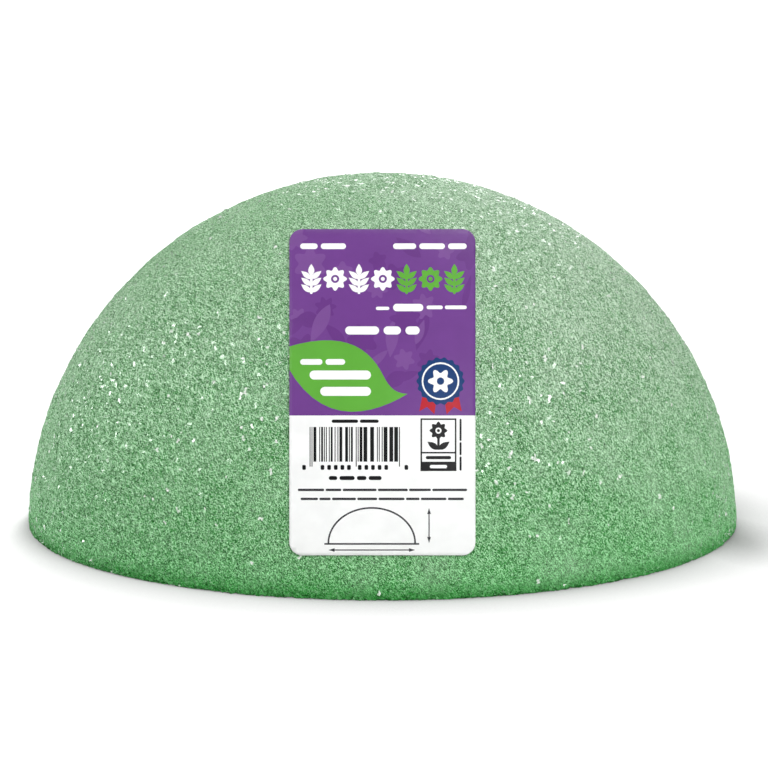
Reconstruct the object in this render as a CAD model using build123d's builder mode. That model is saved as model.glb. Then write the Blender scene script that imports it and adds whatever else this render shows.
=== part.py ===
from build123d import *
import os
from math import cos, radians, sin

# Craft foam half ball with a printed label on its front.
# Millimetres.  +Z is up, the origin is the centre of the flat base, and the label faces -Y.

# Driving dimensions of the foam
base_diameter = 198.0
dome_height = 96.5
base_edge_radius = 1.0       # worn round by handling, where the dome meets the flat base

# Driving dimensions of the label
adhesive_thickness = 0.05    # pressure-sensitive coat between the foam and the printed face
face_thickness = 0.10
label_width = 45.5           # measured straight across, midway up the label
label_height = 79.8          # measured straight, not along the curve
label_corner_radius = 3.2
label_drop = 2.0             # middle of the label, below the line of sight

# The label reads as an upright rectangle from here: at arm's length, a little above the table
sight_distance = 700.0
sight_elevation = 9.2        # degrees
sight_height = 37.5          # where the line of sight crosses the dome's axis
label_stand_off = 87.5       # middle of the label, in front of the dome's axis

# The dome is one spherical cap, a little less than half of its sphere
base_radius = base_diameter / 2
sphere_radius = (base_radius**2 + dome_height**2) / (2 * dome_height)
sphere_centre = (0, 0, dome_height - sphere_radius)

os.makedirs("parts", exist_ok=True)


# Foam half ball: half of its section, turned round the dome's axis
with BuildPart() as foam_half_ball:
    with BuildSketch(Plane.XZ):
        with BuildLine():
            base_line = Line((0, 0), (base_radius, 0))
            dome_line = RadiusArc(base_line @ 1, (0, dome_height), -sphere_radius)
            Line(dome_line @ 1, base_line @ 0)
        make_face()
    revolve(axis=Axis.Z)
    fillet(foam_half_ball.edges().group_by(Axis.Z)[0], base_edge_radius)
foam_half_ball.part.label = "foam_half_ball"
export_step(foam_half_ball.part, "parts/foam_half_ball.step")


# Window that both label layers are cut with.  It narrows towards the eye, as the sight lines do,
# and reaches from clear of the foam to behind the label, short of the dome's axis.
tilt = radians(sight_elevation)
sight_plane = Plane(
    origin=(0, 0, sight_height), x_dir=(1, 0, 0), z_dir=(0, -cos(tilt), sin(tilt))
)
window_front = 1.2 * base_radius
window_back = 0.1 * base_radius

with BuildPart() as label_window:
    for stand_off in (window_front, window_back):
        spread = (sight_distance - stand_off) / (sight_distance - label_stand_off)
        with BuildSketch(sight_plane.offset(stand_off)):
            with Locations((0, -label_drop * spread)):
                RectangleRounded(label_width * spread, label_height * spread, label_corner_radius * spread)
    loft()


# Adhesive coat: a thin shell that lies on the foam
with BuildPart() as label_adhesive:
    with Locations(sphere_centre):
        Sphere(sphere_radius + adhesive_thickness)
        Sphere(sphere_radius, mode=Mode.SUBTRACT)
    add(label_window.part, mode=Mode.INTERSECT)
label_adhesive.part.label = "label_adhesive"
export_step(label_adhesive.part, "parts/label_adhesive.step")


# Printed face: the shell outside the adhesive
with BuildPart() as label_face:
    with Locations(sphere_centre):
        Sphere(sphere_radius + adhesive_thickness + face_thickness)
        Sphere(sphere_radius + adhesive_thickness, mode=Mode.SUBTRACT)
    add(label_window.part, mode=Mode.INTERSECT)
label_face.part.label = "label_face"
export_step(label_face.part, "parts/label_face.step")
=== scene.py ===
"""Craft foam half ball with a printed label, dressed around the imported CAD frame.

Metres, +Z up, the label facing -Y.  The foam is built cell by cell: points scattered over the
dome and its flat base are joined by a Delaunay triangulation, and its dual gives the cells, each
with thin raised walls and a sunken floor.  The label is one thin film whose printed areas are
regions of its own mesh.
"""

from math import cos, pi, radians, sin, tan

import bpy
import numpy as np
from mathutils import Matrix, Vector
from mathutils.geometry import delaunay_2d_cdt


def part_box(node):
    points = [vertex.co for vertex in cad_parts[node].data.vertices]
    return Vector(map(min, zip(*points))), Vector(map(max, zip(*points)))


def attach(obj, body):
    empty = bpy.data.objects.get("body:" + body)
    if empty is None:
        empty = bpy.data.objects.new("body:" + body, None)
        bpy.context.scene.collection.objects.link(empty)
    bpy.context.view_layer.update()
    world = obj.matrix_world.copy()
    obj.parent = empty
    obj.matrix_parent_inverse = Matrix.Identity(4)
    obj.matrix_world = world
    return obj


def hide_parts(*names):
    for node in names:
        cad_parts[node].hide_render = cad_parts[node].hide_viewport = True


MM = 0.001
FOAM_SEED = 20
SHADE_SEED = 25
PRINT_SEED = 29

# ---------------------------------------------------------------- the frame: dome, label, camera

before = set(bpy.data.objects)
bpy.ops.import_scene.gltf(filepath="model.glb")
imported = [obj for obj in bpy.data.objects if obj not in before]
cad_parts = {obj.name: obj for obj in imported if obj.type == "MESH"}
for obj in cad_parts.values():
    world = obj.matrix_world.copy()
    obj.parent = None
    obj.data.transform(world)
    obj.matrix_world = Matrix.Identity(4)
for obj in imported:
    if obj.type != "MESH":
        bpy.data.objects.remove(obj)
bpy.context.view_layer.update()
DOME_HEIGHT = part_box("foam_half_ball")[1].z


def cad_vertices(node):
    """Places of a CAD node's vertices, one row for each."""
    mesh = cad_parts[node].data
    places = np.zeros(len(mesh.vertices) * 3, np.float32)
    mesh.vertices.foreach_get("co", places)
    return places.reshape(-1, 3).astype(float)


def dome_radius():
    """Radius of the sphere through the crown that the middle of the CAD dome lies on."""
    p = cad_vertices("foam_half_ball")
    low, high = 0.25 * DOME_HEIGHT, 0.75 * DOME_HEIGHT
    p = p[(p[:, 2] > low) & (p[:, 2] < high)]
    below_crown = DOME_HEIGHT - p[:, 2]
    return float(np.mean((p[:, 0] ** 2 + p[:, 1] ** 2 + below_crown**2) / (2 * below_crown)))


DOME_RADIUS = dome_radius()
DOME_CENTRE = np.array([0.0, 0.0, DOME_HEIGHT - DOME_RADIUS])
RIM_ANGLE = np.arccos(-DOME_CENTRE[2] / DOME_RADIUS)      # crown to rim, seen from the centre
BASE_RADIUS = DOME_RADIUS * sin(RIM_ANGLE)

# The eye: the camera, and the place from which the label reads as an upright rectangle
EYE_DISTANCE = 700 * MM
EYE_ELEVATION = radians(9.2)
EYE_AIM = Vector((0.4 * MM, 0, 37.5 * MM))
LENS = 117.4               # lens and sensor are in millimetres, as Blender's own values are
SENSOR_WIDTH = 36
EYE = EYE_AIM + EYE_DISTANCE * Vector((0, -cos(EYE_ELEVATION), sin(EYE_ELEVATION)))
SIGHT = (EYE_AIM - EYE).normalized()
SIGHT_UP = Vector((0, sin(EYE_ELEVATION), cos(EYE_ELEVATION)))

# ---------------------------------------------------------------- helpers for meshes


def mesh_from(name, vertices, *faces):
    """A mesh object from vertex places and one array of faces for each number of sides."""
    mesh = bpy.data.meshes.new(name)
    mesh.vertices.add(len(vertices))
    mesh.vertices.foreach_set("co", np.asarray(vertices, np.float32).ravel())
    loops = np.concatenate([group.ravel() for group in faces])
    sides = np.concatenate([np.full(len(group), group.shape[1]) for group in faces])
    mesh.loops.add(len(loops))
    mesh.loops.foreach_set("vertex_index", loops.astype(np.int32))
    mesh.polygons.add(len(sides))
    mesh.polygons.foreach_set("loop_start", (np.cumsum(sides) - sides).astype(np.int32))
    mesh.update(calc_edges=True)
    piece = bpy.data.objects.new(name, mesh)
    bpy.context.scene.collection.objects.link(piece)
    return piece


def set_attribute(mesh, name, domain, values):
    """Stores one number for each face or each face corner, for the material to read."""
    attribute = mesh.attributes.new(name, "FLOAT", domain)
    attribute.data.foreach_set("value", np.asarray(values, np.float32))


def unit(rows):
    """Each row scaled to a length of one."""
    return rows / np.linalg.norm(rows, axis=1)[:, None]


def in_plan(radius, angle):
    """Points at these distances and angles from the origin, as x and y."""
    return np.stack([radius * np.cos(angle), radius * np.sin(angle)], 1)


def triangle_sides(triangles):
    """The three sides of every triangle, each as its two ends in order."""
    return np.concatenate([triangles[:, (0, 1)], triangles[:, (1, 2)], triangles[:, (2, 0)]])


def side_keys(sides, count):
    """One number for each side's ends in order, and one for them in reverse."""
    start = sides[:, 0].astype(np.int64)
    end = sides[:, 1].astype(np.int64)
    return start * count + end, end * count + start


# ---------------------------------------------------------------- helpers for materials


def linear(red, green, blue):
    """Blender's linear colour for screen values from 0 to 255."""
    values = np.array([red, green, blue]) / 255
    low = values / 12.92
    high = ((values + 0.055) / 1.055) ** 2.4
    return tuple(np.where(values <= 0.04045, low, high)) + (1.0,)


class Nodes:
    """Builds one material, node by node."""

    def __init__(self, name):
        self.material = bpy.data.materials.new(name)
        self.material.use_nodes = True
        self.tree = self.material.node_tree
        self.shader = self.tree.nodes["Principled BSDF"]

    def put(self, socket, value):
        """Sets an input to a plain value, or joins another node's output to it."""
        if isinstance(value, bpy.types.NodeSocket):
            self.tree.links.new(value, socket)
        else:
            socket.default_value = value

    def principled(self, **values):
        """Sets the surface shader's inputs by name, with _ for each space."""
        for name, value in values.items():
            self.put(self.shader.inputs[name.replace("_", " ")], value)

    def attribute(self, name):
        node = self.tree.nodes.new("ShaderNodeAttribute")
        node.attribute_name = name
        return node.outputs["Fac"]

    def place(self):
        return self.tree.nodes.new("ShaderNodeTexCoord").outputs["Object"]

    def height_above_base(self):
        node = self.tree.nodes.new("ShaderNodeSeparateXYZ")
        self.put(node.inputs[0], self.place())
        return node.outputs["Z"]

    def math(self, operation, *values):
        node = self.tree.nodes.new("ShaderNodeMath")
        node.operation = operation
        for socket, value in zip(node.inputs, values):
            self.put(socket, value)
        return node.outputs[0]

    def vector(self, operation, *values):
        node = self.tree.nodes.new("ShaderNodeVectorMath")
        node.operation = operation
        for socket, value in zip(node.inputs, values):
            self.put(socket, value)
        return node.outputs["Value" if operation in ("DOT_PRODUCT", "LENGTH") else "Vector"]

    def mix(self, share, first, second):
        """Colour between first and second."""
        node = self.tree.nodes.new("ShaderNodeMix")
        node.data_type = "RGBA"
        self.put(node.inputs["Factor"], share)
        self.put(node.inputs[6], first)
        self.put(node.inputs[7], second)
        return node.outputs[2]

    def spread(self, value, low, high, to_low, to_high):
        """Value carried from the range low..high to to_low..to_high, and held there outside it."""
        node = self.tree.nodes.new("ShaderNodeMapRange")
        for socket, setting in zip(node.inputs, (value, low, high, to_low, to_high)):
            self.put(socket, setting)
        return node.outputs["Result"]

    def noise(self, size, detail=2.0, roughness=0.5):
        """Cloudy pattern from about 0 to 1, with blobs about this size across."""
        node = self.tree.nodes.new("ShaderNodeTexNoise")
        self.put(node.inputs["Vector"], self.place())
        node.inputs["Scale"].default_value = 1 / size
        node.inputs["Detail"].default_value = detail
        node.inputs["Roughness"].default_value = roughness
        return node.outputs["Fac"]

    def strokes(self, length, width, turn, faint=0.64, full=0.69):
        """Short pale strokes, from 0 to 1, lying along the X axis turned by these angles.

        They are the peaks of a stretched noise, between its values faint and full.
        """
        turned = self.tree.nodes.new("ShaderNodeMapping")
        turned.vector_type = "TEXTURE"
        self.put(turned.inputs["Vector"], self.place())
        turned.inputs["Rotation"].default_value = turn
        turned.inputs["Scale"].default_value = (length, width, width)
        node = self.tree.nodes.new("ShaderNodeTexNoise")
        self.put(node.inputs["Vector"], turned.outputs[0])
        node.inputs["Scale"].default_value = 1.0
        node.inputs["Detail"].default_value = 0.0
        return self.spread(node.outputs["Fac"], faint, full, 0.0, 1.0)


# ---------------------------------------------------------------- foam: cells over a closed dome

DOME_CELL = 0.70 * MM      # mean spacing of cell middles
BASE_CELL = 1.2 * MM
ROW_GAP = sin(pi / 3)      # between rings of cells, as a share of the spacing along a ring
SHAKE = 0.42               # how far a cell's middle strays, as a share of the spacing
MAP_TOLERANCE = 1e-9       # cells closer than this on the flat map would be merged
ON_BASE = 0.02 * MM        # a point lower than this lies on the flat base
JUNCTION_EVENNESS = 3      # higher keeps the wall junctions nearer the middles of their triangles
WAVE_LENGTHS = (3.5 * MM, 6 * MM, 11 * MM, 24 * MM)
WAVES_EACH = 5             # directions for each wavelength
WAVE_SUM = 14              # range of the waves' sum that spans the whole depth
WAVE_DEPTH = 0.42 * MM     # slow unevenness of the cut surface
CREST_DEPTH = 0.10 * MM    # how far single wall junctions are worn down
BASE_SINK = 0.3            # the base is cut flatter than the dome
RIM_CRUMBLE_HEIGHT = 2.5 * MM
RIM_CRUMBLE_DEPTH = 0.9 * MM
PIT_DEPTH = 0.16 * MM
PIT_DEPTH_SHARES = (0.3, 1.7)
PIT_STRAY = 0.12 * DOME_CELL
FILM_SHARE = 0.045         # cells still closed by a flat film
FILM_GROWTH = 0.25         # how often the film reaches over into the next cell
FILM_LEAN = 0.16           # how far a film tilts out of the cut surface
GLINT_CHANCE = 0.03        # films painted white as glints, anywhere on the foam
GLINT_PATCH_CHANCE = 0.3   # and further films painted white as glints, toward these two directions from the centre
GLINT_PATCHES = ((-0.38, -0.79, 0.48), (0.44, -0.83, 0.34))
GLINT_SPREAD = 0.26        # radians round each direction
GLINT_STRENGTHS = (0.3, 1)
CELL_SHADE_SHARE = 0.25    # of the uneven green, how much is one tone for a whole cell
DOME_TEXTURE_SHARE = 2 / 3
TEXTURE_MARGIN = 0.004


def ring_of_points(radius, cell, rng):
    """Angles of evenly spread, shaken points on one circle.  The smallest is a plain triangle."""
    count = max(3, round(2 * pi * radius / cell))
    start = rng.random()
    shake = rng.uniform(-SHAKE, SHAKE, count) if count > 3 else 0
    return (np.arange(count) + start + shake) * 2 * pi / count


def dome_rings(rng):
    """Cell middles on the dome, ring by ring from the crown, each with its places on a flat map."""
    rows = round(DOME_RADIUS * RIM_ANGLE / (DOME_CELL * ROW_GAP))
    step = RIM_ANGLE / rows
    for row in range(rows):
        angle = ring_of_points(DOME_RADIUS * sin((row + 0.5) * step), DOME_CELL, rng)
        shake = 0.0 if row == rows - 1 else SHAKE
        polar = (row + 0.5 + rng.uniform(-shake, shake, len(angle))) * step
        height = DOME_CENTRE[2] + DOME_RADIUS * np.cos(polar)
        places = np.column_stack([in_plan(DOME_RADIUS * np.sin(polar), angle), height])
        yield places, in_plan(np.tan(polar / 2), angle)


def base_rings(rng):
    """Cell middles on the base, ring by ring inward, each with its places further out on the map."""
    rows = round(BASE_RADIUS / (BASE_CELL * ROW_GAP))
    step = BASE_RADIUS / rows
    for row in range(rows):
        middle = BASE_RADIUS - (row + 0.5) * step
        angle = ring_of_points(middle, BASE_CELL, rng)
        shake = 0.0 if row in (0, rows - 1) else SHAKE
        across = middle + rng.uniform(-shake, shake, len(angle)) * step
        places = np.column_stack([in_plan(across, angle), np.zeros(len(angle))])
        yield places, in_plan(tan(RIM_ANGLE / 2) * BASE_RADIUS / across, angle)


def scatter_cells(rng):
    """Middles of all the cells, their places on the flat map, and the last ring of the base."""
    rings = [*dome_rings(rng), *base_rings(rng)]
    middles = np.concatenate([places for places, _ in rings])
    mapped = np.concatenate([flat for _, flat in rings])
    last_ring = np.arange(len(middles) - len(rings[-1][0]), len(middles))
    return middles, mapped, last_ring


def join_cells(mapped, last_ring):
    """Triangles between neighbouring cell middles, closed over the middle of the base."""
    found = delaunay_2d_cdt([Vector(p) for p in mapped], [], [], 0, MAP_TOLERANCE)
    triangles = np.array(found[2])
    return np.concatenate([triangles, [last_ring[::-1]]])


def outward_normals(points):
    """Unit normals of the dome, or of the base for points on it."""
    normals = unit(points - DOME_CENTRE)
    normals[points[:, 2] < ON_BASE] = (0, 0, -1)
    return normals


def inside_cut(points):
    """The points, with any that stand proud of the cut surface brought back to it."""
    from_centre = points - DOME_CENTRE
    reach = np.linalg.norm(from_centre, axis=1)
    points = DOME_CENTRE + from_centre * np.minimum(1, DOME_RADIUS / reach)[:, None]
    points[:, 2] = np.maximum(points[:, 2], 0)
    return points


def unevenness(points, rng):
    """Slow waves over the cut surface, from 0 to 1."""
    total = np.zeros(len(points))
    for length in WAVE_LENGTHS:
        for _ in range(WAVES_EACH):
            direction = rng.normal(size=3)
            direction /= np.linalg.norm(direction)
            phase = rng.uniform(0, 2 * pi)
            total += np.sin(points @ direction * 2 * pi / length + phase)
    return np.clip(0.5 + total / WAVE_SUM, 0, 1)


def wall_junctions(middles, triangles, rng):
    """Where walls meet, one place inside each triangle of cells, and how deep each is sunk."""
    count = len(triangles)
    weights = rng.dirichlet([JUNCTION_EVENNESS] * 3, count)
    junctions = (middles[triangles] * weights[:, :, None]).sum(1)
    normals = outward_normals(junctions)
    on_base = normals[:, 2] < 0
    sink = WAVE_DEPTH * unevenness(junctions, rng) + rng.uniform(0, 1, count) * CREST_DEPTH
    sink *= np.where(on_base, BASE_SINK, 1)
    crumbling = np.clip(1 - junctions[:, 2] / RIM_CRUMBLE_HEIGHT, 0, 1) * ~on_base
    sink += RIM_CRUMBLE_DEPTH * crumbling * rng.uniform(0, 1, count) ** 2
    return junctions - normals * sink[:, None], sink


def film_leaders(triangles, cells, rng):
    """For each cell, the cell whose film closes it, or -1 for an open pit."""
    leader = np.where(rng.random(cells) < FILM_SHARE, np.arange(cells), -1)
    joins = (leader[triangles[:, 0]] >= 0) & (rng.random(len(triangles)) < FILM_GROWTH)
    leader[triangles[joins, 1]] = leader[triangles[joins, 0]]
    return leader


def cell_floors(middles, triangles, sink, film, rng):
    """Middle of each cell's floor: a sunken pit, or a film level with the walls around it."""
    cells = len(middles)
    walls = np.bincount(triangles.ravel(), minlength=cells)
    mean_sink = np.bincount(triangles.ravel(), np.repeat(sink, 3), cells) / walls
    strays = rng.normal(0, PIT_STRAY, (cells, 3))
    depth = mean_sink + np.where(film, 0, PIT_DEPTH * rng.uniform(*PIT_DEPTH_SHARES, cells))
    return middles - outward_normals(middles) * depth[:, None] + strays * ~film[:, None]


def flatten_films(junctions, floors, triangles, leader, normals, rng):
    """Moves the floors and wall junctions of each film onto one flat leaning lid."""
    film = leader >= 0
    lean = unit(normals + rng.normal(0, FILM_LEAN, normals.shape))
    lids = floors.copy()

    def onto_lid(points, cell):
        off_plane = ((points - lids[cell]) * lean[cell]).sum(1)
        return points - lean[cell] * off_plane[:, None]

    floors[film] = onto_lid(floors[film], leader[film])
    for cell in triangles.T:
        closed = film[cell]
        junctions[closed] = onto_lid(junctions[closed], leader[cell[closed]])


def wall_faces(triangles, cells, rng):
    """Faces of the surface, the cell that owns each, and the brightness of each one's wall.

    Every side shared by two triangles is a wall between two cells.  For the side from cell a to
    cell b, cell a owns the face between that wall and its own floor.
    """
    sides = triangle_sides(triangles)
    forward, backward = side_keys(sides, cells)
    order = np.argsort(forward)
    match = order[np.searchsorted(forward[order], backward)]
    junction = np.tile(np.arange(len(triangles)), 3)
    owner = sides[:, 0]
    faces = np.stack([junction, junction[match], len(triangles) + owner], 1)
    brightness = rng.random(len(owner))
    return faces, owner, np.where(forward < backward, brightness, brightness[match])


def painted_glint_cells(normals, leader, rng):
    """Cells whose film is painted white as a glint: a few anywhere, far more of them in two patches."""
    chance = np.full(len(normals), GLINT_CHANCE)
    for patch in unit(np.array(GLINT_PATCHES)):
        away = np.arccos(np.clip(normals @ patch, -1, 1))
        chance += GLINT_PATCH_CHANCE * np.exp(-(away / GLINT_SPREAD) ** 2)
    glint_cells = rng.random(len(normals)) < chance
    return (leader >= 0) & glint_cells[leader]


def foam_object():
    """The foam's closed surface, with what its material needs to know stored on its faces."""
    rng = np.random.default_rng(FOAM_SEED)
    middles, mapped, last_ring = scatter_cells(rng)
    triangles = join_cells(mapped, last_ring)
    normals = outward_normals(middles)
    junctions, sink = wall_junctions(middles, triangles, rng)
    leader = film_leaders(triangles, len(middles), rng)
    film = leader >= 0
    floors = cell_floors(middles, triangles, sink, film, rng)
    flatten_films(junctions, floors, triangles, leader, normals, rng)
    faces, owner, wall_light = wall_faces(triangles, len(middles), rng)
    # Films painted white as glints
    glint_cells = painted_glint_cells(normals, leader, rng)
    vertices = inside_cut(np.concatenate([junctions, floors]))
    piece = mesh_from("foam_dome", vertices, faces)
    store_facts(piece.data, owner, film, glint_cells, wall_light)
    lay_flat(piece.data, vertices[faces], (middles[:, 2] < ON_BASE)[owner])
    return piece


def store_facts(mesh, owner, film, glint_cells, wall_light):
    """Tone, film and painted white glint of each face; wall crest and painted pit shade of each face
    corner.
    """
    rng = np.random.default_rng(SHADE_SEED)
    cell_shade = rng.random(owner.max() + 1)[owner]
    face_shade = rng.random(len(owner))
    shade = CELL_SHADE_SHARE * cell_shade + (1 - CELL_SHADE_SHARE) * face_shade
    set_attribute(mesh, "shade", "FACE", shade)
    set_attribute(mesh, "film", "FACE", film[owner])
    set_attribute(mesh, "painted_glint", "FACE", glint_cells[owner] * rng.uniform(*GLINT_STRENGTHS, len(owner)))
    crest = np.zeros((len(owner), 3))
    crest[:, :2] = wall_light[:, None]
    set_attribute(mesh, "crest", "CORNER", crest.ravel())
    pit_shade = np.zeros((len(owner), 3))
    pit_shade[:, 2] = ~film[owner]
    set_attribute(mesh, "pit_shade", "CORNER", pit_shade.ravel())


def lay_flat(mesh, points, on_base):
    """Texture places: the dome fills the lower two thirds of the square, the base the rest.

    Each is a disc in plan (the dome's rings spaced by their arc) pulled out to a rectangle.
    """
    on_base = on_base[:, None]
    polar = np.arccos(np.clip((points[..., 2] - DOME_CENTRE[2]) / DOME_RADIUS, -1, 1))
    flat_radius = np.hypot(points[..., 0], points[..., 1])
    share = np.clip(np.where(on_base, flat_radius / BASE_RADIUS, polar / RIM_ANGLE), 0, 1)
    tiny = 1e-9
    plan = points[..., :2] / np.maximum(flat_radius, tiny)[..., None]
    square = plan / np.abs(plan).max(-1, keepdims=True) * share[..., None]
    low = np.where(on_base, DOME_TEXTURE_SHARE, 0.0)[..., None] * (0, 1)
    size = np.where(on_base, 1 - DOME_TEXTURE_SHARE, DOME_TEXTURE_SHARE)[..., None] * (0, 1) + (1, 0)
    places = low + size * (0.5 + square * (0.5 - TEXTURE_MARGIN))
    layer = mesh.uv_layers.new(name="OFBake")
    layer.uv.foreach_set("vector", places.astype(np.float32).ravel())


# ---------------------------------------------------------------- foam: colours and material

FOAM_GREEN = linear(78, 164, 82)
FOAM_DEEP = linear(4, 94, 18)
# Struts: pale, partly painted highlight; deeper near the base by painted shade
FOAM_STRUT = linear(194, 232, 194)
FOAM_LOW_STRUT = linear(136, 224, 144)
# Painted sheen colour
FOAM_SHEEN = linear(206, 218, 204)
# Painted shade in the pits
FOAM_PIT_SHADE = linear(4, 84, 18)
# Painted shade toward the base
FOAM_RIM_SHADE = linear(30, 138, 40)
# Painted shade in the lowest band
FOAM_EDGE_SHADE = linear(20, 132, 34)
# Painted glint white, also used for the painted highlight on the struts
FOAM_GLINT_WHITE = linear(250, 252, 248)

NARROW_RIM = 12 * MM       # painted shade: the green deepens toward the base over these two heights
NARROW_RIM_SHARE = 0.3
BROAD_RIM = 60 * MM
BROAD_RIM_SHARE = 0.6
EDGE_TOP = 5 * MM          # painted shade: the lowest band is deeper still
EDGE_BOTTOM = 0.5 * MM
EDGE_SHADE_SHARE = 0.75
PIT_SLOPE = 1.3            # painted shade: how steeply a cell darkens from its walls to the middle of its pit
PIT_SHADE_SHARE = 0.95
CLOUD_SIZE = 14 * MM       # painted sheen: pale haze that lies on the cells in clouds
CLOUD_FROM = 0.42
CLOUD_FULL = 0.72
CLOUD_SHARE = 0.22
CROWN_SHEEN_FROM = 25 * MM  # and painted sheen evenly toward the crown
CROWN_SHEEN_SHARE = 0.15
SHEEN_LEFT = -60 * MM       # the painted sheen is thinner left of here, and full right of the next
SHEEN_RIGHT = 30 * MM
SHEEN_LEFT_SHARE = 0.35
CREST_SHARPNESS = 3.0      # how few of the wall crests are pale
CREST_SHARE = 0.7
STRUT_LENGTH = 2.2 * MM    # pale strokes, partly torn cell struts and partly painted highlight, lying these ways (in radians) on the cut surface
STRUT_WIDTH = 0.26 * MM
STRUT_TURNS = ((0.3, 0.9, 0.4), (1.1, -0.8, 2.0), (0.5, 0.2, -0.9), (2.0, 0.6, 1.2))
STRUT_SHARE = 0.95
HIGHLIGHT_ACROSS = (-20 * MM, 50 * MM)    # painted highlight: the struts whiten toward the right and up, over these ranges
HIGHLIGHT_UP = (15 * MM, 50 * MM)
HIGHLIGHT_SHARE = 0.27
CELL_ROUGHNESS = 0.40
FILM_ROUGHNESS = 0.10
FILM_COAT_ROUGHNESS = 0.08
CELL_GLOSS = 0.4
FILM_GLOSS = 0.6


def rim_shade_share(m, height):
    """How much painted shade, a deeper green toward the base, shows."""
    narrow = m.spread(height, 0.0, NARROW_RIM, NARROW_RIM_SHARE, 0.0)
    broad = m.spread(height, 0.0, BROAD_RIM, BROAD_RIM_SHARE, 0.0)
    return m.math("ADD", narrow, broad)


def sheen_share(m, height, to_the_right):
    """How much painted sheen shows, as pale clouds and toward the crown."""
    noise = m.noise(CLOUD_SIZE, detail=3.0, roughness=0.6)
    clouds = m.spread(noise, CLOUD_FROM, CLOUD_FULL, 0.0, CLOUD_SHARE)
    crown = m.spread(height, CROWN_SHEEN_FROM, DOME_HEIGHT, 0.0, CROWN_SHEEN_SHARE)
    thinner = m.spread(to_the_right, SHEEN_LEFT, SHEEN_RIGHT, SHEEN_LEFT_SHARE, 1.0)
    return m.math("MULTIPLY", m.math("ADD", clouds, crown), thinner)


def strut_share(m):
    """How much of a pale strut stroke or pale wall crest shows: partly the struts' own pale colour and
    partly painted highlight.
    """
    crest = m.math("POWER", m.attribute("crest"), CREST_SHARPNESS)
    share = m.math("MULTIPLY", crest, CREST_SHARE)
    for turn in STRUT_TURNS:
        share = m.math("MAXIMUM", share, m.strokes(STRUT_LENGTH, STRUT_WIDTH, turn))
    return m.math("MULTIPLY", share, STRUT_SHARE)


def strut_colour(m, height, to_the_right, rim):
    """Pale green, with painted shade deeper near the rim and a painted highlight whiter toward the
    upper right.
    """
    green = m.mix(rim, FOAM_STRUT, FOAM_LOW_STRUT)
    # Painted highlight: whiter toward the upper right
    highlight = m.math("MULTIPLY", m.spread(to_the_right, *HIGHLIGHT_ACROSS, 0.0, HIGHLIGHT_SHARE),
                    m.spread(height, *HIGHLIGHT_UP, 0.0, 1.0))
    return m.mix(highlight, green, FOAM_GLINT_WHITE)


def foam_material():
    """Crushed, clear-walled cells: pale wall crests, painted shade in the pits and toward the base,
    painted sheen and glints, a few bright flat films.
    """
    m = Nodes("foam_cells")
    height = m.height_above_base()
    to_the_right = m.vector("DOT_PRODUCT", m.place(), (1, 0, 0))
    # Painted shade: deeper green toward the base
    rim = rim_shade_share(m, height)
    colour = m.mix(m.attribute("shade"), FOAM_DEEP, FOAM_GREEN)
    colour = m.mix(rim, colour, FOAM_RIM_SHADE)
    # Painted shade: darker toward the middle of each pit
    pit_shade = m.math("POWER", m.attribute("pit_shade"), PIT_SLOPE)
    colour = m.mix(m.math("MULTIPLY", pit_shade, PIT_SHADE_SHARE), colour, FOAM_PIT_SHADE)
    # Painted sheen: pale clouds, more toward the crown
    colour = m.mix(sheen_share(m, height, to_the_right), colour, FOAM_SHEEN)
    colour = m.mix(strut_share(m), colour, strut_colour(m, height, to_the_right, rim))
    # Painted shade: the lowest band is deeper green
    colour = m.mix(m.spread(height, EDGE_BOTTOM, EDGE_TOP, EDGE_SHADE_SHARE, 0.0), colour, FOAM_EDGE_SHADE)
    # Painted glints: some films painted near white
    colour = m.mix(m.attribute("painted_glint"), colour, FOAM_GLINT_WHITE)
    film = m.attribute("film")
    geometry = m.tree.nodes.new("ShaderNodeNewGeometry")
    m.principled(Base_Color=colour,
                 Roughness=m.spread(film, 0.0, 1.0, CELL_ROUGHNESS, FILM_ROUGHNESS),
                 Specular_IOR_Level=m.spread(film, 0.0, 1.0, CELL_GLOSS, FILM_GLOSS),
                 Coat_Weight=film, Coat_Roughness=FILM_COAT_ROUGHNESS,
                 Normal=geometry.outputs["True Normal"])
    return m.material


def dress_foam():
    """The visual foam stands for the CAD half ball."""
    piece = foam_object()
    piece.data.materials.append(foam_material())
    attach(piece, "root")
    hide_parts("foam_half_ball")


# ---------------------------------------------------------------- label: shapes to print with

SHARP_CORNER = 0.02        # a smaller corner radius is left sharp
HAIR = 1e-3                # keeps rounded corners from meeting
WORD_LENGTHS = (0.6, 1.5)  # shortest and longest word, before they are fitted to their line
WORD_GAP = 0.55            # as a share of the line's height


def disc(x, y, radius, points=28):
    """Filled circle."""
    return in_plan(radius, np.arange(points) * 2 * pi / points) + (x, y)


def rounded_box(x0, y0, x1, y1, corner=0.0, points=8):
    """Box with rounded corners, as one outline."""
    corner = min(corner, (x1 - x0) / 2 - HAIR, (y1 - y0) / 2 - HAIR)
    if corner <= SHARP_CORNER:
        return np.array([(x0, y0), (x1, y0), (x1, y1), (x0, y1)])
    turn = np.linspace(0, pi / 2, points)
    corners = ((x1 - corner, y1 - corner, 0), (x0 + corner, y1 - corner, pi / 2),
               (x0 + corner, y0 + corner, pi), (x1 - corner, y0 + corner, 3 * pi / 2))
    return np.concatenate([in_plan(corner, turn + start) + (x, y) for x, y, start in corners])


def ribbon(line, width):
    """Outline of a stroke of even width along a line of points."""
    along = unit(np.gradient(line, axis=0))
    side = np.stack([-along[:, 1], along[:, 0]], 1) * width / 2
    return np.concatenate([line + side, (line - side)[::-1]])


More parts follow.
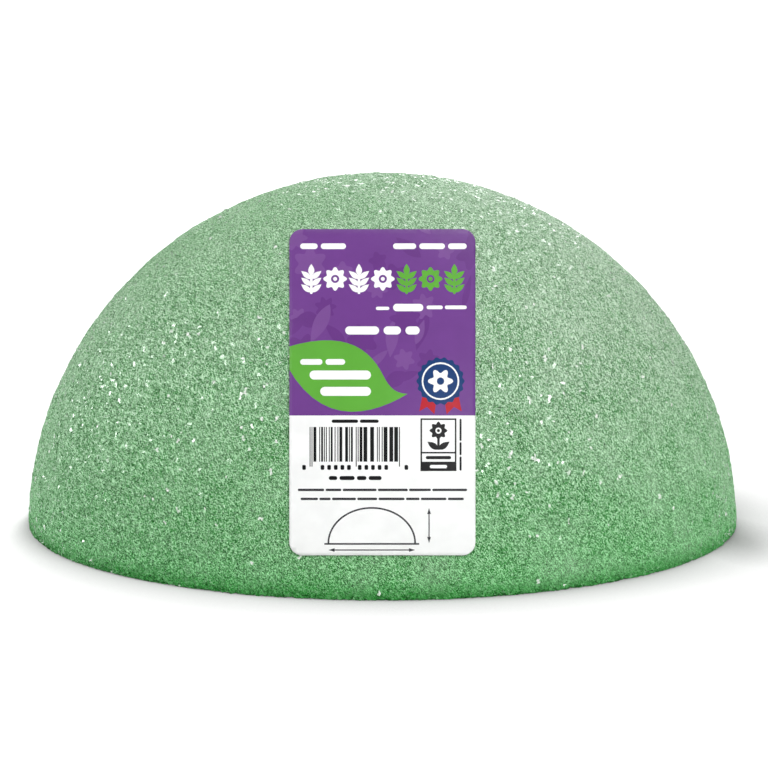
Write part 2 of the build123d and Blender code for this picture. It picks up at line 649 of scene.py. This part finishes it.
def leaf(x, y, length, width, angle, points=12):
    """Pointed leaf that starts at x, y and runs along the angle, in degrees."""
    t = np.linspace(0, 1, points)
    half = width / 2 * np.sin(pi * t**0.85)      # broadest a little before the middle
    edge = np.stack([t * length, half], 1)
    flat = np.concatenate([edge, (edge * (1, -1))[::-1][1:-1]])
    a = radians(angle)
    turn = np.array([(cos(a), sin(a)), (-sin(a), cos(a))])
    return flat @ turn + (x, y)


def petals(x, y, radius, count, depth=0.28, turned=0.0, points=8):
    """Round flower outline with this many petals."""
    turn = np.arange(count * points) * 2 * pi / (count * points)
    r = radius * (1 - depth * (0.5 - 0.5 * np.cos(count * turn)))
    return in_plan(r, turn + turned) + (x, y)


def bezier(a, b, c, d, points=14):
    """Points on the curve from a to d that leaves toward b and arrives from c."""
    t = np.linspace(0, 1, points)[:, None]
    a, b, c, d = map(np.array, (a, b, c, d))
    return (1 - t)**3 * a + 3 * (1 - t)**2 * t * b + 3 * (1 - t) * t**2 * c + t**3 * d


def text_bars(x0, x1, y0, y1, words, rng):
    """Plain rounded bars in place of a line of words, filling x0 to x1."""
    widths = rng.uniform(*WORD_LENGTHS, words)
    gap = WORD_GAP * (y1 - y0)
    widths *= (x1 - x0 - gap * (words - 1)) / widths.sum()
    bars = []
    x = x0
    for width in widths:
        bars.append(rounded_box(x, y0, x + width, y1, (y1 - y0) / 2))
        x += width + gap
    return bars


def arrow(x0, y0, x1, y1, line=0.3, head=1.5, half_head=0.45):
    """Thin line with a head at each end."""
    start, end = np.array((x0, y0)), np.array((x1, y1))
    along = (end - start) / np.linalg.norm(end - start)
    side = half_head * np.array((-along[1], along[0]))
    shapes = [ribbon(np.stack([start + head * along, end - head * along]), line)]
    for tip, inward in ((start, along), (end, -along)):
        back = tip + head * inward
        shapes.append(np.stack([tip, back + side, back - side]))
    return shapes


# ---------------------------------------------------------------- label: its print

# The print is laid out on a flat sheet, in millimetres, x from the middle and y from the bottom
SHEET_WIDTH = 45.5
SHEET_HEIGHT = 79.8
SHEET_CORNER = 3.2
PANEL_BOTTOM = 34.2        # where the purple panel meets the white one
PATTERN_SHAPES = 34
PATTERN_FLOWERS = 0.35     # share of the pattern's shapes that are flowers

# Lines of words, each as left, right, bottom, top and the number of words
CORNER_LINES = ((-20.1, -8.9, 74.9, 76.3, 2), (2.6, 20.6, 74.9, 76.3, 3))
MIDDLE_LINES = ((-1.6, 1.7, 60.0, 60.8, 1), (2.6, 10.0, 59.7, 61.5, 1), (10.8, 20.6, 60.2, 61.1, 2),
                (-9.1, 9.1, 54.0, 56.0, 3))
LEAF_LINES = ((-20.1, -9.1, 46.6, 48.0, 2), (-17.8, -2.8, 43.0, 45.2, 1),
              (-15.2, -2.8, 39.0, 41.2, 1))
OVER_CODE_LINES = ((-12.4, -0.9, 32.4, 33.2, 2),)
UNDER_CODE_LINES = ((-13.1, -0.2, 18.4, 19.4, 4),)
FOOT_LINES = ((-20.7, 20.7, 15.7, 16.3, 6), (-20.0, 19.9, 13.5, 14.1, 8))
UPRIGHT_LINE = (20.7, 33.4, -19.35, -18.85, 3)    # before it is turned a quarter

# Bar code, with a row of squares under it, each group as its left end and its number of squares
CODE_LEFT = -17.8
CODE_RIGHT = 4.6
CODE_UNIT = 0.235
CODE_TOP = 31.4
CODE_BOTTOM = 22.9
LONG_BAR_BOTTOM = 21.7
SQUARE_GROUPS = ((-19.6, 1), (-15.1, 5), (-6.0, 5), (5.4, 1))
SQUARE_PITCH = 1.62
SQUARE_WIDTH = 0.9
SQUARE_BOTTOM = 20.9
SQUARE_TOP = 22.1
SQUARE_CORNER = 0.3


def inked(ink, outlines):
    """The outlines as printed areas of one ink."""
    return [(ink, outline) for outline in outlines]


def word_lines(lines, rng):
    """Bars for several lines of words."""
    return [bar for line in lines for bar in text_bars(*line, rng)]


def print_layout():
    """The printed areas as (ink, outline), each painted over those before it."""
    rng = np.random.default_rng(PRINT_SEED)
    half = SHEET_WIDTH / 2
    areas = [("film_white", rounded_box(-half, 0, half, SHEET_HEIGHT, SHEET_CORNER)),
             ("purple", rounded_box(-half - 1, PANEL_BOTTOM, half + 1, SHEET_HEIGHT + 1))]
    areas += purple_pattern(rng)
    areas += inked("film_white", word_lines(CORNER_LINES, rng))
    areas += garden_row()
    areas += inked("film_white", word_lines(MIDDLE_LINES, rng))
    areas.append(("leaf_green", big_leaf()))
    areas += inked("film_white", word_lines(LEAF_LINES, rng))
    areas += rosette()
    areas += white_panel(rng)
    return areas


def purple_pattern(rng):
    """Tone-on-tone flowers and leaves, cut off where the purple panel ends."""
    areas = []
    for _ in range(PATTERN_SHAPES):
        x = rng.uniform(-SHEET_WIDTH / 2, SHEET_WIDTH / 2)
        y = rng.uniform(PANEL_BOTTOM + 2, SHEET_HEIGHT)
        tone = rng.choice(["purple_light", "purple_dark"])
        if rng.random() < PATTERN_FLOWERS:
            shape = petals(x, y, radius=rng.uniform(2.0, 4.5), count=rng.integers(5, 8), depth=0.35,
                           turned=rng.uniform(0, pi))
        else:
            shape = leaf(x, y, length=rng.uniform(5, 12), width=rng.uniform(1.6, 4.2),
                         angle=rng.uniform(0, 360))
        areas.append((tone, np.maximum(shape, (-np.inf, PANEL_BOTTOM))))
    return areas


def sprig(ink, x, y, width, height):
    """Upright stem with three pairs of leaves and one at the tip."""
    half_stem = 0.32
    shapes = [rounded_box(x - half_stem, y, x + half_stem, y + 0.7 * height, corner=0.3),
              leaf(x, y + 0.6 * height, length=0.4 * height, width=1.5, angle=90)]
    for level in (0.06, 0.28, 0.5):
        for angle in (90 + 52, 90 - 52):
            shapes.append(leaf(x, y + level * height, length=0.58 * width, width=1.3, angle=angle))
    return inked(ink, shapes)


def bloom(ink, under, x, y, radius):
    """Round flower with an open middle."""
    return [(ink, petals(x, y, radius, count=8, depth=0.26)), (under, disc(x, y, 0.34 * radius)),
            (ink, disc(x, y, 0.17 * radius))]


def garden_row():
    """Sprigs and flowers in turn, evenly spaced: the first four white, the last three green."""
    left, right = -20.3, 20.5
    low, height = 63.9, 7.4
    count, white = 7, 4
    gap = 0.4
    pitch = (right - left) / count
    areas = []
    for k in range(count):
        ink = "film_white" if k < white else "leaf_green"
        x = left + (k + 0.5) * pitch
        if k % 2 == 0:
            areas += sprig(ink, x, low, pitch - gap, height)
        else:
            areas += bloom(ink, "purple", x, low + height / 2, pitch / 2)
    return areas


def big_leaf():
    """Green leaf that grows in from the label's left edge to a fine tip."""
    left = -SHEET_WIDTH / 2 - 0.6
    shoulder = (0.4, 43.6)
    tip = (6.2, 39.5)
    top = bezier((left, 50.9), (-9.5, 55.2), (-3.0, 50.8), shoulder)
    top = np.concatenate([top, bezier(shoulder, (2.0, 40.6), (3.4, 39.6), tip)[1:]])
    bottom = bezier(tip, (-3.0, 34.0), (-15.0, 31.2), (left, 46.4))
    return np.concatenate([top, bottom[1:]])


def rosette():
    """Blue prize rosette with a white flower and two red ribbon ends."""
    x, y = 14.2, 42.6
    ribbon_end = np.array([(0.3, 0), (3.7, 0), (5.2, -7.4), (3.3, -6.3), (1.5, -8.1)])
    areas = [("badge_red", ribbon_end * (side, 1) + (x, y)) for side in (-1, 1)]
    areas += [("badge_blue", petals(x, y, radius=5.9, count=18, depth=0.08)),
              ("film_white", disc(x, y, 4.6)),
              ("badge_blue", disc(x, y, 4.2)),
              ("film_white", petals(x, y, radius=3.1, count=6, depth=0.38)),
              ("badge_blue", disc(x, y, 0.9))]
    return areas


def white_panel(rng):
    """Bar code, framed flower, small lines and a drawing of the size."""
    areas = inked("print_black", word_lines(OVER_CODE_LINES, rng))
    areas += inked("print_black", bar_code(rng) + squares())
    areas += inked("print_black", word_lines(UNDER_CODE_LINES, rng))
    areas += inked("print_grey", word_lines(FOOT_LINES, rng))
    areas += framed_flower(rng)
    areas += inked("print_grey", size_drawing())
    return areas


def bar_code(rng):
    """Random bars and gaps of a few units, with longer thin bars at both ends and in the middle."""
    middle = (CODE_LEFT + CODE_RIGHT) / 2
    bars = []
    x = CODE_LEFT
    while x < CODE_RIGHT - 2 * CODE_UNIT:
        is_long = (x - CODE_LEFT < 3 * CODE_UNIT or abs(x - middle) < 2 * CODE_UNIT
                   or x > CODE_RIGHT - 5 * CODE_UNIT)
        bottom = LONG_BAR_BOTTOM if is_long else CODE_BOTTOM
        width = CODE_UNIT * (1 if is_long else rng.choice((1, 1, 2, 3, 4)))
        bars.append(rounded_box(x, bottom, x + width, CODE_TOP))
        x += width + CODE_UNIT * (1 if is_long else rng.choice((1, 1, 2, 3)))
    return bars


def squares():
    """Small squares in place of the bar code's digits."""
    shapes = []
    for start, count in SQUARE_GROUPS:
        for k in range(count):
            x = start + SQUARE_PITCH * k
            shapes.append(rounded_box(x, SQUARE_BOTTOM, x + SQUARE_WIDTH, SQUARE_TOP, SQUARE_CORNER))
    return shapes


def framed_flower(rng):
    """Frame with a flower in it, over a white and a black strip, and small words up its side."""
    middle = 13.7
    areas = [("print_black", rounded_box(9.3, 20.6, 18.1, 33.5)),
             ("film_white", rounded_box(9.7, 25.3, 17.7, 33.1)),
             ("film_white", rounded_box(9.7, 22.9, 17.7, 24.9)),
             ("print_black", rounded_box(10.6, 23.5, 16.8, 24.3, corner=0.4)),
             ("film_white", rounded_box(11.6, 21.3, 15.8, 22.1, corner=0.4)),
             ("print_black", rounded_box(13.4, 25.8, 14.0, 29.0, corner=0.1))]
    for angle in (35, 145):
        areas.append(("print_black", leaf(middle, 25.9, length=3.3, width=1.5, angle=angle)))
    areas += bloom("print_black", "film_white", middle, 30.5, radius=2.2)
    upright = [bar[:, ::-1] * (-1, 1) for bar in text_bars(*UPRIGHT_LINE, rng)]
    return areas + inked("print_black", upright)


def size_drawing():
    """Half ball in outline, with arrows for its width and its height."""
    middle, base = -2.6, 3.0
    half_width, height = 10.6, 8.6
    line = 0.42
    turn = np.linspace(0, pi, 40)
    arch = np.stack([middle + half_width * np.cos(turn), base + height * np.sin(turn)], 1)
    left, right = middle - half_width, middle + half_width
    below = 1.3
    beside = right + 3.4
    return [ribbon(arch, line), rounded_box(left - 1.0, base - line, right + 1.0, base),
            *arrow(left, below, right, below), *arrow(beside, base, beside, base + height)]


# ---------------------------------------------------------------- label: one printed film

INKS = {
    "film_white": linear(250, 251, 250),
    "purple": linear(111, 62, 140),
    "purple_light": linear(122, 77, 148),
    "purple_dark": linear(104, 54, 132),
    "leaf_green": linear(96, 172, 60),
    "badge_blue": linear(8, 56, 112),
    "badge_red": linear(184, 26, 42),
    "print_black": linear(12, 12, 14),
    "print_grey": linear(58, 58, 62),
}
LONGEST_STEP = 1.3         # millimetres of straight outline, so that the print follows the dome
INNER_ACROSS = np.arange(-22, 22.1, 1.37)     # further points inside the sheet, for the same reason
INNER_UP = np.arange(0.9, 79, 1.41)
SHEET_TOLERANCE = 1e-4     # points closer than this on the flat sheet are merged


def ink_material(name):
    """Satin print on film: a little uneven in tone and in gloss."""
    m = Nodes(name)
    tone = INKS[name]
    darker = tuple(0.94 * channel for channel in tone[:3]) + (1.0,)
    clouds = m.spread(m.noise(6 * MM, detail=4.0), low=0.35, high=0.65, to_low=0.0, to_high=1.0)
    grain = m.noise(1.5 * MM, detail=3.0)
    m.principled(Base_Color=m.mix(clouds, tone, darker),
                 Roughness=m.spread(grain, low=0.3, high=0.7, to_low=0.42, to_high=0.52),
                 Specular_IOR_Level=0.2)
    return m.material


def adhesive_material():
    """Tacky coat, a little cloudy."""
    m = Nodes("tacky_coat")
    cloud = m.mix(m.noise(3 * MM), linear(214, 216, 205), linear(232, 233, 226))
    m.principled(Base_Color=cloud, Roughness=0.3)
    return m.material


def label_span():
    """Lowest and highest corner of the CAD label in the eye's view, as slopes from the eye."""
    from_eye = cad_vertices("label_face") - np.array(EYE)
    depth = from_eye @ np.array(SIGHT)
    seen = np.stack([from_eye[:, 0], from_eye @ np.array(SIGHT_UP)], 1) / depth[:, None]
    return seen.min(0), seen.max(0)


def on_dome(sheet, radius):
    """Points of the flat sheet carried along the lines of sight to a sphere round the dome's centre."""
    low, high = label_span()
    share = (sheet + (SHEET_WIDTH / 2, 0)) / (SHEET_WIDTH, SHEET_HEIGHT)
    slope = low + share * (high - low)
    ray = unit(np.array(SIGHT) + slope[:, :1] * (1, 0, 0) + slope[:, 1:] * np.array(SIGHT_UP))
    start = np.array(EYE) - DOME_CENTRE
    along = ray @ start
    distance = -along - np.sqrt(along**2 - (start @ start - radius**2))
    return np.array(EYE) + ray * distance[:, None]


def short_steps(outline):
    """The same outline with points added along its longer sides."""
    pieces = []
    for here, ahead in zip(outline, np.roll(outline, -1, 0)):
        steps = max(1, int(np.ceil(np.linalg.norm(ahead - here) / LONGEST_STEP)))
        pieces.append(here + (ahead - here) * (np.arange(steps) / steps)[:, None])
    return np.concatenate(pieces)


def signed_area(outline):
    """Above zero for an outline that runs anticlockwise."""
    ahead = np.roll(outline, -1, 0)
    return (outline[:, 0] * ahead[:, 1] - ahead[:, 0] * outline[:, 1]).sum() / 2


def sheet_regions(layout):
    """One flat triangulation of the sheet in which every triangle has a single ink."""
    points, outlines = [], []
    for _, outline in layout:
        if signed_area(outline) < 0:
            outline = outline[::-1]
        outline = short_steps(outline)
        outlines.append(list(range(len(points), len(points) + len(outline))))
        points += [Vector(p) for p in outline]
    grid = np.stack(np.meshgrid(INNER_ACROSS, INNER_UP), -1)
    points += [Vector(p) for p in grid.reshape(-1, 2)]
    places, _, triangles, _, _, owners = delaunay_2d_cdt(points, [], outlines, 1, SHEET_TOLERANCE,
                                                         True)
    # The first outline is the sheet itself, and the last one over a triangle gives its ink
    inside = [k for k, owner in enumerate(owners) if 0 in owner]
    top = [max(owners[k]) for k in inside]
    return np.array(places), np.array([triangles[k] for k in inside]), np.array(top)


def label_object():
    """Front and back of the printed film, closed by a narrow edge."""
    layout = print_layout()
    sheet, triangles, top = sheet_regions(layout)
    used, triangles = np.unique(triangles, return_inverse=True)
    triangles = triangles.reshape(-1, 3)
    sheet = sheet[used]
    reach = np.linalg.norm(cad_vertices("label_face") - DOME_CENTRE, axis=1)
    front, back = on_dome(sheet, reach.max()), on_dome(sheet, reach.min())

    count = len(sheet)
    sides = triangle_sides(triangles)
    forward, backward = side_keys(sides, count)
    rim = sides[~np.isin(forward, backward)]
    edge = np.stack([rim[:, 1], rim[:, 0], rim[:, 0] + count, rim[:, 1] + count], 1)
    faces = np.concatenate([triangles, triangles[:, ::-1] + count])
    piece = mesh_from("label_film", np.concatenate([front, back]), faces, edge)

    names = list(INKS)
    for name in names:
        piece.data.materials.append(ink_material(name))
    printed = np.array([names.index(layout[k][0]) for k in top])
    unprinted = np.full(len(triangles) + len(edge), names.index("film_white"))
    slots = np.concatenate([printed, unprinted])
    piece.data.polygons.foreach_set("material_index", slots.astype(np.int32))
    return piece


def dress_label():
    """The printed film stands for the CAD label face, and the CAD adhesive gets its material."""
    piece = label_object()
    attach(piece, "root")
    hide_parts("label_face")
    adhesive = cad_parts["label_adhesive"].data
    adhesive.materials.clear()
    adhesive.materials.append(adhesive_material())


# ---------------------------------------------------------------- floor, light and camera

WHITE = (1, 1, 1, 1)
FLOOR_HALF = 20.0
FLOOR_GREY = (0.8, 0.8, 0.8, 1)               # as the foam is lit by it
FLOOR_SEEN_GREY = (0.35, 0.35, 0.35, 1)       # as the camera sees it, under its glow
CONTACT_TOWARD = (0.5, -0.87, 0)              # the contact shadow is widest on this side
CONTACT_FROM = -0.5 * BASE_RADIUS
CONTACT_TO = 0.8 * BASE_RADIUS
CONTACT_NARROW = 3 * MM
CONTACT_WIDE = 40 * MM
PATCH_MIDDLE = (0.98 * BASE_RADIUS, -0.34 * BASE_RADIUS, 0)
PATCH_SIZE = (10 * MM, 24 * MM, 1)            # across and along; the floor has no height to divide
PATCH_STRENGTH = 0.28

HORIZON_LIGHT = 0.51       # strength of the white surround, at the horizon and overhead
OVERHEAD_LIGHT = 0.17
BACKDROP_LIGHT = 1.1       # and as the camera sees it

LIGHT_DISTANCE = 1.0       # from the middle of the foam
# Softboxes as name, azimuth and elevation in degrees, width and height in metres, power in watts
SOFTBOXES = (
    ("left_box", -80, 42, 0.3, 0.6, 3.8),
    ("left_back_box", -112, 16, 0.3, 0.4, 2.5),
    ("fill_box", 34, 34, 0.4, 0.4, 5.6),
    ("upper_box", 76, 62, 0.4, 0.4, 0.5),
    ("back_box", 150, 50, 0.5, 0.5, 1.6),
    ("low_back_box", 172, 22, 0.5, 0.5, 1.6),
)


def softbox(name, azimuth, elevation, width, height, power):
    """Area light that faces the foam.  Azimuth 0 is in front of the foam, and 90 is to its right."""
    a, e = radians(azimuth), radians(elevation)
    light = bpy.data.lights.new(name, "AREA")
    light.shape = "RECTANGLE"
    light.size = width
    light.size_y = height
    light.energy = power
    holder = bpy.data.objects.new(name, light)
    aim = Vector((0, 0, DOME_HEIGHT / 2))
    holder.location = aim + LIGHT_DISTANCE * Vector((sin(a) * cos(e), -cos(a) * cos(e), sin(e)))
    holder.rotation_euler = (aim - holder.location).to_track_quat("-Z", "Y").to_euler()
    bpy.context.scene.collection.objects.link(holder)


def floor_material():
    """White sweep.  The camera sees part of it as glow, so only the soft shadows round the rim read."""
    m = Nodes("studio_floor")
    seen = m.tree.nodes.new("ShaderNodeLightPath").outputs["Is Camera Ray"]

    # Contact shadow: hardly any at the far left, widest toward the front right
    contact = m.tree.nodes.new("ShaderNodeAmbientOcclusion")
    contact.samples = 8
    toward = m.vector("DOT_PRODUCT", m.place(), CONTACT_TOWARD)
    reach = m.spread(toward, CONTACT_FROM, CONTACT_TO, CONTACT_NARROW, CONTACT_WIDE)
    m.put(contact.inputs["Distance"], reach)
    near_glow = m.spread(contact.outputs["AO"], low=0.5, high=0.95, to_low=0.25, to_high=0.8)

    # Soft patch of shadow that falls outside the rim at the right, toward the front
    from_patch = m.vector("SUBTRACT", m.place(), PATCH_MIDDLE)
    patch = m.vector("LENGTH", m.vector("DIVIDE", from_patch, PATCH_SIZE))
    shade = m.spread(patch, low=0.2, high=1.3, to_low=PATCH_STRENGTH, to_high=0.0)
    near_glow = m.math("SUBTRACT", near_glow, shade)

    # The sweep brightens with distance, to meet the backdrop without an edge
    away = m.vector("LENGTH", m.place())
    far_glow = m.spread(away, low=0.2, high=1.2, to_low=0.0, to_high=0.5)
    glow = m.math("MULTIPLY", m.math("ADD", near_glow, far_glow), seen)
    m.principled(Base_Color=m.mix(seen, FLOOR_GREY, FLOOR_SEEN_GREY), Roughness=0.9,
                 Specular_IOR_Level=0.0, Emission_Color=WHITE, Emission_Strength=glow)
    return m.material


def studio_floor():
    """Wide flat floor at the base's height, which isn't part of the object."""
    corners = [(-FLOOR_HALF, -FLOOR_HALF, 0), (FLOOR_HALF, -FLOOR_HALF, 0),
               (FLOOR_HALF, FLOOR_HALF, 0), (-FLOOR_HALF, FLOOR_HALF, 0)]
    floor = mesh_from("studio_floor", corners, np.array([(0, 1, 2, 3)]))
    floor.data.materials.append(floor_material())


def studio_world():
    """White surround, dimmer overhead than at the horizon; plain white to the camera."""
    world = bpy.data.worlds.new("studio")
    bpy.context.scene.world = world
    world.use_nodes = True
    nodes, links = world.node_tree.nodes, world.node_tree.links
    direction = nodes.new("ShaderNodeTexCoord")
    split = nodes.new("ShaderNodeSeparateXYZ")
    sky = nodes.new("ShaderNodeMapRange")
    sky.inputs["From Min"].default_value = 0.0
    sky.inputs["From Max"].default_value = 1.0
    sky.inputs["To Min"].default_value = HORIZON_LIGHT
    sky.inputs["To Max"].default_value = OVERHEAD_LIGHT
    links.new(direction.outputs["Generated"], split.inputs[0])
    links.new(split.outputs["Z"], sky.inputs["Value"])

    # A plain mix node's inputs are its share, then the two values
    path = nodes.new("ShaderNodeLightPath")
    choose = nodes.new("ShaderNodeMix")
    links.new(path.outputs["Is Camera Ray"], choose.inputs[0])
    links.new(sky.outputs["Result"], choose.inputs[2])
    choose.inputs[3].default_value = BACKDROP_LIGHT
    nodes["Background"].inputs["Color"].default_value = WHITE
    links.new(choose.outputs[0], nodes["Background"].inputs["Strength"])


def eye_camera():
    """The camera, at the place from which the label reads as upright."""
    camera = bpy.data.cameras.new("eye")
    camera.lens = LENS
    camera.sensor_width = SENSOR_WIDTH
    camera.clip_start = 10 * MM
    holder = bpy.data.objects.new("eye", camera)
    holder.location = EYE
    holder.rotation_euler = SIGHT.to_track_quat("-Z", "Y").to_euler()
    bpy.context.scene.collection.objects.link(holder)
    bpy.context.scene.camera = holder


dress_foam()
dress_label()
studio_floor()
studio_world()
for box in SOFTBOXES:
    softbox(*box)
eye_camera()
bpy.context.scene.view_settings.view_transform = "Standard"
